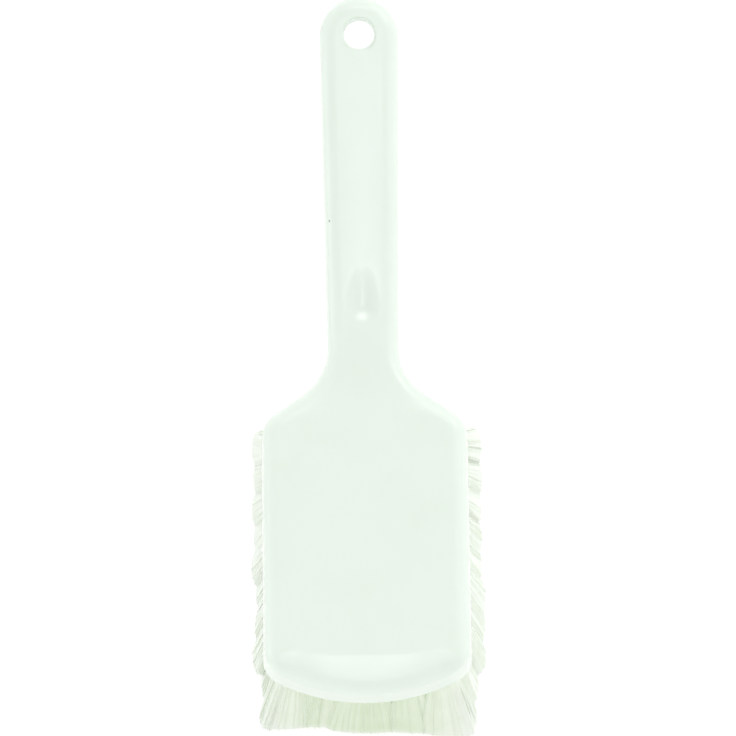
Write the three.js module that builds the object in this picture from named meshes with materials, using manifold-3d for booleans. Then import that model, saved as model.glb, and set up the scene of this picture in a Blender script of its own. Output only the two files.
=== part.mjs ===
// Long-handled scrub brush: a one-piece moulded body, staple-set bristle tufts and their wire anchors.
// Millimetres, +Z up, bristle tips on Z = 0, toe towards -Y and raised handle towards +Y.
import * as THREE from 'three';
import { mergeVertices } from 'three/addons/utils/BufferGeometryUtils.js';
import Module from 'manifold-3d';

// Block seen from above; a station is a length along the body's top from the toe
const BLOCK_WIDTH = 75;
const TOE_RADIUS = 71;
const TOE_CORNER_RADIUS = 9;
const SHOULDER_STATION = 101.6;
const SHOULDER_RADIUS = 10;

// Handle seen from above
const NECK_STATION = 118.3;
const NECK_WIDTH = 25.8;
const NECK_RADIUS = 20;
const HANDLE_END_WIDTH = 29;
const BODY_LENGTH = 255.7;

// Side profile: thickness, rounded edges and the bend that raises the handle
const BLOCK_THICKNESS = 20;
const NECK_THICKNESS = 15.5;
const HANDLE_END_THICKNESS = 13;
const HEEL_RUN = 22;
const TOP_EDGE_RADIUS = 6;
const TOE_EDGE_RADIUS = 10.5;
const BLOCK_UNDER_EDGE = 1;
const HANDLE_UNDER_EDGE = 4.5;
const WALL_DRAFT = THREE.MathUtils.degToRad(2.5);
const HANDLE_CROWN = 1.2;
const BEND_STATION = 104;
const BEND_RADIUS = 190;
const HANDLE_RISE = THREE.MathUtils.degToRad(15);

// Hang hole and thumb rest
const HANG_HOLE_DIAMETER = 11.2;
const HANG_HOLE_FROM_END = 13.8;
const HANG_HOLE_BEVEL = 1;
const EYE_FLAT = 10;
const EYE_RUN = 40;
const THUMB_STATION = 145;
const THUMB_DEPTH = 2;
const THUMB_HALF_WIDTH = 9;
const THUMB_TOE_REACH = 9;
const THUMB_GRIP_REACH = 17;

// Tuft field on the underside: staggered rows, narrower at the toe's rounded corners
const ODD_ROW_COLUMNS = 5;
const EVEN_ROW_COLUMNS = 6;
const TOE_NODE_ROWS = 3;
const FRONT_NODE_ROWS = 2;
const REAR_NODE_ROWS = 2;
const HEEL_NODE_ROWS = 3;
const NARROW_ROWS = 2;
const ROW_REACH = 31;
const NARROW_ROW_REACH = 28.8;
const ROW_PITCH = 9.2;
const FIRST_ROW = 13.8;
const BRISTLE_LENGTH = 38;
const FLARE = 1.24;

// One tuft, its drilled hole and its anchor
const HOLE_DIAMETER = 5.5;
const HOLE_DEPTH = 12;
const ROUND_SIDES = 8;
const STRANDS_ROUND_TUFT = 6;
const STRAND_RADIUS = 0.7;
const STRAND_SIDES = 3;
const ROOT_SPREAD = 1.7;
const TIP_SPREAD_ACROSS = 5;
const TIP_SPREAD_ALONG = 4.8;
const ANCHOR_LENGTH = 6;
const ANCHOR_HEIGHT = 1.6;
const ANCHOR_THICKNESS = 0.4;
const FOLD_THICKNESS = 1.3;

// Slice of the block's underside that carries the strands of a node
const SLICE_THICKNESS = 1.6;
const SLICE_RIM = 2;
const SLICE_PAST_ROW = 5;
const CLEARANCE = 0.3;

// Fineness of the facets
const LINE_STEP = 6;
const ARC_STEP = THREE.MathUtils.degToRad(12);
const TOP_EDGE_STEPS = 5;
const UNDER_EDGE_STEPS = 2;
const TOP_COLUMNS = 8;
const HANG_HOLE_SIDES = 20;
const OVERCUT = 5;
const SAME_POINT = 1e-4;

const wasm = await Module();
wasm.setup();

const ROWS_OF_NODE = {
  bristles_toe: TOE_NODE_ROWS,
  bristles_front: FRONT_NODE_ROWS,
  bristles_rear: REAR_NODE_ROWS,
  bristles_heel: HEEL_NODE_ROWS,
};
const BLOCK_TOP = BRISTLE_LENGTH + BLOCK_THICKNESS;
const HEEL_STATION = SHOULDER_STATION;
const { clamp, lerp, smoothstep } = THREE.MathUtils;

// Materials
const MOULDED_WHITE = new THREE.MeshStandardMaterial({ color: 0xeaf3ea, roughness: 0.42, metalness: 0 });
const BRISTLE_WHITE = new THREE.MeshStandardMaterial({ color: 0xe6eddf, roughness: 0.55, metalness: 0 });
const ANCHOR_STEEL = new THREE.MeshStandardMaterial({ color: 0xb9bcbd, roughness: 0.35, metalness: 1 });

// Closed solid from a three.js geometry
function solid(geometry) {
  const bare = new THREE.BufferGeometry();
  bare.setAttribute('position', geometry.getAttribute('position'));
  bare.setIndex(geometry.getIndex());
  const merged = mergeVertices(bare, SAME_POINT);
  const index = merged.getIndex().array;
  const kept = [];
  for (let i = 0; i < index.length; i += 3) {
    const [a, b, c] = [index[i], index[i + 1], index[i + 2]];
    if (a !== b && b !== c && c !== a) kept.push(a, b, c);
  }
  const mesh = new wasm.Mesh({
    numProp: 3,
    vertProperties: new Float32Array(merged.getAttribute('position').array),
    triVerts: new Uint32Array(kept),
  });
  return new wasm.Manifold(mesh);
}

// Named mesh of the part from a finished solid
function piece(name, body, material) {
  const mesh = body.getMesh();
  const geometry = new THREE.BufferGeometry();
  geometry.setAttribute('position', new THREE.BufferAttribute(mesh.vertProperties, 3));
  geometry.setIndex(new THREE.BufferAttribute(mesh.triVerts, 1));
  const flat = geometry.toNonIndexed();
  flat.computeVertexNormals();
  const result = new THREE.Mesh(flat, material);
  result.name = name;
  return result;
}

// Line to the corner b between a and c, rounded off with a tangent arc
function roundCorner(path, a, b, c, radius) {
  const toA = a.clone().sub(b).normalize();
  const toC = c.clone().sub(b).normalize();
  const half = toA.angleTo(toC) / 2;
  const start = b.clone().addScaledVector(toA, radius / Math.tan(half));
  const end = b.clone().addScaledVector(toC, radius / Math.tan(half));
  const centre = toA.clone().add(toC).setLength(radius / Math.sin(half)).add(b);
  const angleOf = (p) => Math.atan2(p.y - centre.y, p.x - centre.x);
  path.lineTo(start.x, start.y);
  path.absarc(centre.x, centre.y, radius, angleOf(start), angleOf(end), toA.cross(toC) > 0);
}

// Right half of the body's outline, from the toe's middle to the handle's end
function halfOutline() {
  const halfBlock = BLOCK_WIDTH / 2;
  const halfEnd = HANDLE_END_WIDTH / 2;
  const cornerX = halfBlock - TOE_CORNER_RADIUS;
  const cornerY = TOE_RADIUS - Math.sqrt((TOE_RADIUS - TOE_CORNER_RADIUS) ** 2 - cornerX ** 2);
  const toeEnd = Math.atan2(cornerY - TOE_RADIUS, cornerX);
  const side = new THREE.Vector2(halfBlock, cornerY);
  const shoulder = new THREE.Vector2(halfBlock, SHOULDER_STATION);
  const neck = new THREE.Vector2(NECK_WIDTH / 2, NECK_STATION);
  const end = new THREE.Vector2(halfEnd, BODY_LENGTH - halfEnd);
  const path = new THREE.Path();
  path.absarc(0, TOE_RADIUS, TOE_RADIUS, -Math.PI / 2, toeEnd);
  path.absarc(cornerX, cornerY, TOE_CORNER_RADIUS, toeEnd, 0);
  roundCorner(path, side, shoulder, neck, SHOULDER_RADIUS);
  roundCorner(path, shoulder, neck, end, NECK_RADIUS);
  path.lineTo(end.x, end.y);
  path.absarc(0, end.y, halfEnd, 0, Math.PI / 2);
  return path;
}

// Points of the half outline with their outward normals
function outlineStations() {
  const stations = [];
  const curves = halfOutline().curves.filter((curve) => curve.getLength() > SAME_POINT);
  curves.forEach((curve, number) => {
    const bow = curve.getTangent(0).angleTo(curve.getTangent(1));
    const lines = curve.getPoint(1).y > BEND_STATION ? Math.ceil(curve.getLength() / LINE_STEP) : 1;
    const steps = Math.max(lines, Math.ceil(bow / ARC_STEP));
    const last = number === curves.length - 1 ? steps : steps - 1;
    for (let i = 0; i <= last; i++) {
      const tangent = curve.getTangent(i / steps);
      stations.push({ at: curve.getPoint(i / steps), out: new THREE.Vector2(tangent.y, -tangent.x) });
    }
  });
  stations[0].out.set(0, -1);
  stations.at(-1).at.x = 0;
  stations.at(-1).out.set(0, 1);
  return stations;
}

// How far a station has passed from the block's heel onto the handle, from 0 to 1
function onHandle(station) {
  return smoothstep(station, HEEL_STATION, HEEL_STATION + HEEL_RUN);
}

// How near an outline point is to the middle of the toe, from 0 at its corners to 1
function onToe(at) {
  const corner = BLOCK_WIDTH / 2 - TOE_CORNER_RADIUS;
  return at.y < HEEL_STATION ? Math.max(0, 1 - (at.x / corner) ** 2) : 0;
}

// Thickness of the body at a station
function thickness(station) {
  const along = (station - NECK_STATION) / (BODY_LENGTH - NECK_STATION);
  return lerp(BLOCK_THICKNESS, lerp(NECK_THICKNESS, HANDLE_END_THICKNESS, along), onHandle(station));
}

// Fall of the handle's crowned top away from its middle, running out to a flat eye at the hang hole
function crownFall(x, station) {
  const eye = BODY_LENGTH - HANG_HOLE_FROM_END - EYE_FLAT;
  const crown = HANDLE_CROWN * onHandle(station) * (1 - smoothstep(station, eye - EYE_RUN, eye));
  return crown * (x / (NECK_WIDTH / 2)) ** 2;
}

// Depth of the thumb rest, an oval dish with its steeper end towards the block
function thumbRest(x, station) {
  const reach = station < THUMB_STATION ? THUMB_TOE_REACH : THUMB_GRIP_REACH;
  const away = (x / THUMB_HALF_WIDTH) ** 2 + ((station - THUMB_STATION) / reach) ** 2;
  return THUMB_DEPTH * Math.max(0, 1 - away) ** 2;
}

// Place of a point given across the body, along its top and in depth below it, once the handle is bent up
function bent(x, station, depth) {
  const turn = clamp((station - BEND_STATION) / BEND_RADIUS, 0, HANDLE_RISE);
  const rest = station - BEND_STATION - BEND_RADIUS * turn;
  const y = BEND_STATION + (BEND_RADIUS + depth) * Math.sin(turn) + rest * Math.cos(turn);
  const z = BLOCK_TOP - depth + (BEND_RADIUS + depth) * (1 - Math.cos(turn)) + rest * Math.sin(turn);
  return new THREE.Vector3(x, y, z);
}

// Closed line round the body at one outline station, from the underside up the right and back down the left
function girth({ at, out }) {
  const under = thickness(at.y);
  const underEdge = lerp(BLOCK_UNDER_EDGE, HANDLE_UNDER_EDGE, onHandle(at.y));
  const topEdge = lerp(TOP_EDGE_RADIUS, TOE_EDGE_RADIUS, onToe(at));
  const lean = (under - underEdge - topEdge) * Math.tan(WALL_DRAFT);
  const inner = at.clone().addScaledVector(out, -lean - topEdge);
  const crown = crownFall(inner.x, inner.y);
  const right = [];
  for (let i = 0; i <= UNDER_EDGE_STEPS; i++) {
    const turn = (i / UNDER_EDGE_STEPS) * (Math.PI / 2);
    const inset = underEdge * (1 - Math.sin(turn));
    right.push([inset, under - underEdge * (1 - Math.cos(turn))]);
  }
  for (let i = TOP_EDGE_STEPS; i >= 0; i--) {
    const turn = (i / TOP_EDGE_STEPS) * (Math.PI / 2);
    right.push([lean + topEdge * (1 - Math.sin(turn)), crown + topEdge * (1 - Math.cos(turn))]);
  }
  const points = right.map(([inset, depth], level) => {
    const x = at.x - out.x * inset;
    const y = at.y - out.y * inset;
    return new THREE.Vector3(x, y, depth + (level > UNDER_EDGE_STEPS ? thumbRest(x, y) : 0));
  });
  const edge = points.at(-1);
  const mirrored = points.map((p) => new THREE.Vector3(-p.x, p.y, p.z)).reverse();
  for (let i = 1; i < TOP_COLUMNS; i++) {
    const across = 1 - (2 * i) / TOP_COLUMNS;
    const x = edge.x * across;
    points.push(new THREE.Vector3(x, edge.y, crownFall(x, edge.y) + thumbRest(x, edge.y)));
  }
  return [...points, ...mirrored].map((p) => bent(p.x, p.y, p.z));
}

// Body before drilling: girths lofted from the toe to the handle's end
function mouldedBody() {
  const girths = outlineStations().map(girth);
  const round = girths[0].length;
  const index = [];
  for (let i = 0; i + 1 < girths.length; i++) {
    for (let j = 0; j < round; j++) {
      const a = i * round + j;
      const b = i * round + ((j + 1) % round);
      index.push(a, a + round, b, b, a + round, b + round);
    }
  }
  const geometry = new THREE.BufferGeometry().setFromPoints(girths.flat());
  geometry.setIndex(index);
  return solid(geometry);
}

// Cutter for the hang hole, square to the raised handle and bevelled at both rims
function hangHole() {
  const station = BODY_LENGTH - HANG_HOLE_FROM_END;
  const depth = thickness(station);
  const radius = HANG_HOLE_DIAMETER / 2;
  const wide = radius + HANG_HOLE_BEVEL + OVERCUT;
  const profile = [
    [0, -depth - OVERCUT],
    [wide, -depth - OVERCUT],
    [radius, -depth + HANG_HOLE_BEVEL],
    [radius, -HANG_HOLE_BEVEL],
    [wide, OVERCUT],
    [0, OVERCUT],
  ].map(([r, h]) => new THREE.Vector2(r, h));
  const geometry = new THREE.LatheGeometry(profile, HANG_HOLE_SIDES);
  geometry.rotateX(Math.PI / 2 + HANDLE_RISE);
  const place = bent(0, station, 0);
  geometry.translate(place.x, place.y, place.z);
  return solid(geometry);
}

// Block's underside outline, drawn in by an inset, as a slab between two heights
function undersideSlab(inset, low, high) {
  const right = outlineStations().map(({ at, out }) => at.clone().addScaledVector(out, -inset));
  const left = right.slice(1, -1).map((p) => new THREE.Vector2(-p.x, p.y)).reverse();
  return solid(upright([...right, ...left], low, high));
}

// Box across the whole block between two stations and two heights
function band(start, end, low, high) {
  const geometry = new THREE.BoxGeometry(BLOCK_WIDTH, end - start, high - low);
  geometry.translate(0, (start + end) / 2, (low + high) / 2);
  return solid(geometry);
}

// Straight-sided solid between two polygons of as many points
function prism(bottom, top) {
  const count = bottom.length;
  const index = [];
  for (let i = 0; i < count; i++) {
    const next = (i + 1) % count;
    index.push(i, next, count + i, next, count + next, count + i);
    if (i > 1) index.push(0, i, i - 1, count, count + i - 1, count + i);
  }
  const geometry = new THREE.BufferGeometry().setFromPoints([...bottom, ...top]);
  geometry.setIndex(index);
  return solid(geometry);
}

// Regular polygon with a flat side facing +X, given by the distance of its flats
function roundOutline(across) {
  const corner = across / 2 / Math.cos(Math.PI / ROUND_SIDES);
  const points = [];
  for (let i = 0; i < ROUND_SIDES; i++) {
    const angle = ((i + 0.5) / ROUND_SIDES) * 2 * Math.PI;
    points.push(new THREE.Vector2(corner * Math.cos(angle), corner * Math.sin(angle)));
  }
  return points;
}

// Upright geometry of an outline between two heights
function upright(outline, low, high) {
  const options = { depth: high - low, bevelEnabled: false };
  return new THREE.ExtrudeGeometry(new THREE.Shape(outline), options).translate(0, 0, low);
}

// Box centred on the tuft's axis at the anchor's height
function atAnchor(length, width, height) {
  const fold = HOLE_DEPTH - CLEARANCE - FOLD_THICKNESS;
  return new THREE.BoxGeometry(length, width, height).translate(0, 0, fold - CLEARANCE - ANCHOR_HEIGHT / 2);
}

// Drilled hole with the two grooves that its anchor cuts while it is driven in
function tuftHole(place) {
  const flat = HOLE_DIAMETER / 2;
  const reach = ANCHOR_LENGTH / 2 + CLEARANCE;
  const half = ANCHOR_THICKNESS / 2 + CLEARANCE;
  const round = roundOutline(HOLE_DIAMETER);
  const groove = [
    new THREE.Vector2(flat, -half),
    new THREE.Vector2(reach, -half),
    new THREE.Vector2(reach, half),
    new THREE.Vector2(flat, half),
  ];
  const facing = groove.map((p) => p.clone().negate());
  const middle = ROUND_SIDES / 2;
  const outline = [...groove, ...round.slice(0, middle), ...facing, ...round.slice(middle)];
  return solid(upright(outline, -OVERCUT, HOLE_DEPTH).applyMatrix4(place));
}

// Folded root of a tuft, with the loop through which its anchor passes
function tuftRoot(place) {
  const across = HOLE_DIAMETER - 2 * CLEARANCE;
  const root = upright(roundOutline(across), SLICE_THICKNESS / 2, HOLE_DEPTH - CLEARANCE);
  const loop = atAnchor(HOLE_DIAMETER, ANCHOR_THICKNESS + 2 * CLEARANCE, ANCHOR_HEIGHT + 2 * CLEARANCE);
  return solid(root.applyMatrix4(place)).subtract(solid(loop.applyMatrix4(place)));
}

// Strand from inside the slice down to the trimmed tips, fanned out by its place in the tuft
function strand(tuft, across, along) {
  const tip = new THREE.Vector2(across * TIP_SPREAD_ACROSS, along * TIP_SPREAD_ALONG).add(tuft.tip);
  const root = new THREE.Vector2(across * ROOT_SPREAD, along * ROOT_SPREAD).add(tuft.root);
  const ring = (height) => {
    const centre = tip.clone().lerp(root, height / BRISTLE_LENGTH);
    const points = [];
    for (let i = 0; i < STRAND_SIDES; i++) {
      const angle = (i / STRAND_SIDES) * 2 * Math.PI;
      const x = centre.x - STRAND_RADIUS * Math.sin(angle);
      points.push(new THREE.Vector3(x, centre.y + STRAND_RADIUS * Math.cos(angle), height));
    }
    return points;
  };
  return prism(ring(0), ring(BRISTLE_LENGTH + SLICE_THICKNESS / 2));
}

// All strands of one tuft: one in the middle and the rest round it
function tuftStrands(tuft) {
  const strands = [strand(tuft, 0, 0)];
  for (let i = 0; i < STRANDS_ROUND_TUFT; i++) {
    const angle = ((i + 0.5) / STRANDS_ROUND_TUFT) * 2 * Math.PI;
    strands.push(strand(tuft, Math.cos(angle), Math.sin(angle)));
  }
  return strands;
}

// Tufts row by row; the whole field flares out from its middle
const rowTotal = Object.values(ROWS_OF_NODE).reduce((sum, rows) => sum + rows, 0);
const fieldMiddle = new THREE.Vector2(0, FIRST_ROW + ((rowTotal - 1) / 2) * ROW_PITCH);
const rowAt = (row) => FIRST_ROW + row * ROW_PITCH;
const tufts = [];
for (let row = 0; row < rowTotal; row++) {
  const columns = row % 2 === 0 ? ODD_ROW_COLUMNS : EVEN_ROW_COLUMNS;
  const reach = row < NARROW_ROWS ? NARROW_ROW_REACH : ROW_REACH;
  for (let column = 0; column < columns; column++) {
    const root = new THREE.Vector2(lerp(-reach, reach, column / (columns - 1)), rowAt(row));
    const tip = root.clone().sub(fieldMiddle).multiplyScalar(FLARE).add(fieldMiddle);
    const lean = root.clone().sub(tip).divideScalar(BRISTLE_LENGTH);
    const place = new THREE.Matrix4().set(
      1, 0, lean.x, root.x,
      0, 1, lean.y, root.y,
      0, 0, 1, BRISTLE_LENGTH,
      0, 0, 0, 1,
    );
    tufts.push({ row, column, root, tip, place });
  }
}

// Moulded body, hollowed for the slices and drilled for the tufts
const heelEdge = rowAt(rowTotal - 1) + SLICE_PAST_ROW;
const sliceTop = BRISTLE_LENGTH + SLICE_THICKNESS;
const hollow = undersideSlab(SLICE_RIM, BRISTLE_LENGTH - OVERCUT, sliceTop + CLEARANCE)
  .intersect(band(-OVERCUT, heelEdge + CLEARANCE, 0, BLOCK_TOP));
const body = mouldedBody()
  .subtract(hangHole())
  .subtract(wasm.Manifold.union([hollow, ...tufts.map((tuft) => tuftHole(tuft.place))]));

const brush = new THREE.Group();
brush.name = 'long_handled_scrub_brush';
brush.add(piece('handle_block', body, MOULDED_WHITE));

// Bristle nodes, each a band of rows on its slice of the underside
let firstRow = 0;
for (const [name, rows] of Object.entries(ROWS_OF_NODE)) {
  const lastRow = firstRow + rows - 1;
  const start = firstRow === 0 ? -OVERCUT : rowAt(firstRow - 0.5) + CLEARANCE / 2;
  const end = lastRow === rowTotal - 1 ? heelEdge : rowAt(lastRow + 0.5) - CLEARANCE / 2;
  const slice = undersideSlab(SLICE_RIM + CLEARANCE, BRISTLE_LENGTH, sliceTop)
    .intersect(band(start, end, 0, BLOCK_TOP));
  const own = tufts.filter((tuft) => tuft.row >= firstRow && tuft.row <= lastRow);
  const solids = own.flatMap((tuft) => [tuftRoot(tuft.place), ...tuftStrands(tuft)]);
  brush.add(piece(name, wasm.Manifold.union([slice, ...solids]), BRISTLE_WHITE));
  firstRow = lastRow + 1;
}

// Anchors, one through the fold of every tuft
for (const { row, column, place } of tufts) {
  const strip = atAnchor(ANCHOR_LENGTH, ANCHOR_THICKNESS, ANCHOR_HEIGHT).applyMatrix4(place);
  brush.add(piece(`anchor_${row + 1}_${column + 1}`, solid(strip), ANCHOR_STEEL));
}

// Origin at the middle of the bounding box, on the plane of the tips
const box = new THREE.Box3().setFromObject(brush);
brush.position.y = -(box.min.y + box.max.y) / 2;

export default brush;
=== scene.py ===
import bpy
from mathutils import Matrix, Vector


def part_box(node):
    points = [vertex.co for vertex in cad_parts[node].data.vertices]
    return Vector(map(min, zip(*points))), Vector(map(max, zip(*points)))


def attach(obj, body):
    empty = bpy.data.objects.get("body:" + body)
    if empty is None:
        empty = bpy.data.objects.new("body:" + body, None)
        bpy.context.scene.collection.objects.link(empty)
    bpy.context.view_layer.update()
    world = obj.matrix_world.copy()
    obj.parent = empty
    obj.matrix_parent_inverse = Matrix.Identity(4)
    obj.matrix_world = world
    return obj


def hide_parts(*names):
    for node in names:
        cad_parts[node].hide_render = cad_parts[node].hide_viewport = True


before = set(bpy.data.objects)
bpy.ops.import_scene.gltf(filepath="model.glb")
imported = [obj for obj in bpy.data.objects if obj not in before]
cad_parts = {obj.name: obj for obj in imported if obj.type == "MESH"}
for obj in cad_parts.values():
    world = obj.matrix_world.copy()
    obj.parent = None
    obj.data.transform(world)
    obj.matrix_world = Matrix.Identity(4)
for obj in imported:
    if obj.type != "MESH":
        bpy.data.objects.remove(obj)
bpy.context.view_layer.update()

import math

import bmesh
import bpy
import numpy as np
from mathutils import Matrix, Vector
from mathutils.geometry import delaunay_2d_cdt

bl_info = {
    "name": "Long-Handled Scrub Brush",
    "version": (1, 0, 0),
    "blender": (4, 5, 0),
    "location": "View3D > Sidebar > Scrub Brush",
    "description": "Moulded body, bristle tufts, wire anchors and studio of a long-handled scrub brush",
    "category": "Add Mesh",
}

TOE_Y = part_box("handle_block")[0].y
ROWS_OF_NODE = {
    "bristles_toe": (1, 3),
    "bristles_front": (4, 5),
    "bristles_rear": (6, 7),
    "bristles_heel": (8, 10),
}

# Fineness of the body's surface
TOE_ARC_STEPS = 30
TOE_CORNER_STEPS = 12
SIDE_STEPS = 26
SHOULDER_STEPS = 14
SHOULDER_FLOOR_STEP = 8
SLOPE_STEPS = 10
NECK_STEPS = 18
HANDLE_STEPS = 120
END_ARC_STEPS = 40
EYE_ROWS = 56
EYE_SPINE_ROWS = 6
TOP_COLUMNS = 20
TOP_EDGE_STEPS = 16
WALL_STEPS = 4
UNDER_EDGE_STEPS = 6
UNDER_COLUMNS = 14
RIM_STEPS = 6
PIT_SIDES = 24
INSIDE_BORDER = 1
HOLE_SHARE = 0.985
WELD_DISTANCE = 2e-6
SHARP_ANGLE = math.radians(38)

# Fineness of the tufts
FILAMENT_SIDES = 3
CORE_SIDES = 144
CORE_SHARP_ANGLE = math.radians(60)
TINY = 1e-9

# Form of the body, in shares of a normal, the width, the toe's flat, the thumb rest and the seam
TOE_FACING = 0.5
TOE_CORNER_FADE = (0.1, 0.5)
FALL_ROOM = 2.0
THUMB_NARROWING = (-0.6, 0.4)
SEAM_STEPS = np.array([-1.0, -0.4, 0.4, 0.8])

# Form of the tufts: ways run from 0 at the hole's rim to 1 at the tips, folds are shares of the loop
FRONT_ROW = 1
TOE_ROWS = 2
GOLDEN_SHARE = 0.6180339887
FILAMENT_WAYS = np.array([0.0, 1 / 3, 2 / 3, 1.0])
FOLD_WIDTH = 0.7
FOLD_RISE = 0.45
FOLD_FALL = (0.2, 0.8)
FOLD_REACH = np.array([[0.0, 0.0], [0.0, 0.75], [0.0, 1.0]])
CORE_WAYS = np.array([-0.04, 0.0, 0.07, 0.18, 0.35, 0.55, 0.78, 0.985, 0.985, 0.984])
CORE_SIZES = np.array([1.0, 1.0, 1.0, 1.0, 1.0, 1.0, 1.0, 1.0, 0.92, 0.86])
CORE_END_WAY = 0.9
LEAST_FLUTE = 0.2
STRAND_TONES = (0.08, 0.32)
# Painted shade: a darker, warmer tone added to the filaments towards the brush's middle line, where the
# fringe lies in the shade of the toe's overhang
INNER_PAINTED_SHADE = 0.6

# Shared effects: sockets of a colour mix, shares of a scale or a height, and the used part of a noise
MIX_PART = 0
MIX_FIRST = 6
MIX_SECOND = 7
MIX_RESULT = 2
PEEL_SCALE = 0.16
PEEL_SHARE = 0.65
FINE_SHARE = 0.35
MOTTLE_RANGE = (0.3, 0.7)
PATCH_SCALE = 0.3
PATCH_RANGE = (0.48, 0.62)
STREAK_RANGE = (0.62, 0.72)

# Finishes: shader values, shares in the colour, least and most roughness, strength and depth of the grain
PLASTIC_FINISH = {
    "IOR": 1.49,
    "Subsurface Weight": 0.2,
    "Subsurface Radius": (1.0, 1.0, 0.9),
    "Subsurface Scale": 0.003,
}
PLASTIC_FLOW_SHARE = 0.6
PLASTIC_WORN_SHARE = 0.15
PLASTIC_RUBBED_SHARE = 0.06
PLASTIC_ROUGHNESS = (0.21, 0.25)
PLASTIC_RUBBED_ROUGHNESS = 0.015
PLASTIC_GRAIN = (0.12, 0.00025)
SPECK_EDGE = (0.5, 1.3)
NYLON_FINISH = {
    "IOR": 1.53,
    "Subsurface Weight": 0.12,
    "Subsurface Radius": (1.0, 1.0, 0.85),
    "Subsurface Scale": 0.0006,
    "Sheen Weight": 0.5,
    "Sheen Roughness": 0.5,
    "Sheen Tint": (0.95, 1.0, 0.94, 1.0),
}
NYLON_STRAND_SHARE = 0.85
NYLON_MOTTLE_SHARE = 0.15
NYLON_ROUGHNESS = (0.34, 0.5)
NYLON_GRAIN = (0.1, 0.0001)
TIP_FADE = (0.92, 1.0)
TIP_SHARE = 0.5
WIRE_FINISH = {"Metallic": 1.0}
WIRE_ROUGHNESS = (0.28, 0.45)
WIRE_DRAWN_ROUGHNESS = 0.2
WIRE_GRAIN = (0.15, 0.00005)

# Lamps: name, setting of the power, place, width and depth
LAMPS = (
    ("softbox_overhead", "top_power", (0.0, -0.235, 1.4), 0.32, 0.22),
    ("softbox_toe", "toe_power", (0.0, -0.447, 1.4), 0.14, 0.18),
    ("lamp_back", "back_power", (0.03, 0.93, 1.6), 0.5, 0.3),
    ("lamp_front", "front_power", (0.0, -0.62, 0.7), 0.6, 0.6),
    ("lamp_right", "right_power", (0.85, 0.95, 1.05), 1.0, 0.8),
    ("lamp_left", "left_power", (-1.3, -0.05, 0.16), 0.6, 0.3),
)


def length(name, description, default):
    """Property for a length in metres."""
    return bpy.props.FloatProperty(
        name=name, description=description, default=default, unit="LENGTH", precision=5
    )


def turn(name, description, degrees):
    """Property for an angle, given in degrees."""
    return bpy.props.FloatProperty(
        name=name, description=description, default=math.radians(degrees), subtype="ANGLE"
    )


def share(name, description, default):
    """Property for a plain number."""
    return bpy.props.FloatProperty(name=name, description=description, default=default, precision=3)


def watts(name, description, default):
    """Property for the power of a lamp."""
    return bpy.props.FloatProperty(name=name, description=description, default=default, unit="POWER")


def colour(name, description, default):
    """Property for a colour."""
    return bpy.props.FloatVectorProperty(
        name=name, description=description, default=default, subtype="COLOR", size=3, min=0.0, max=1.0
    )


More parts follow.
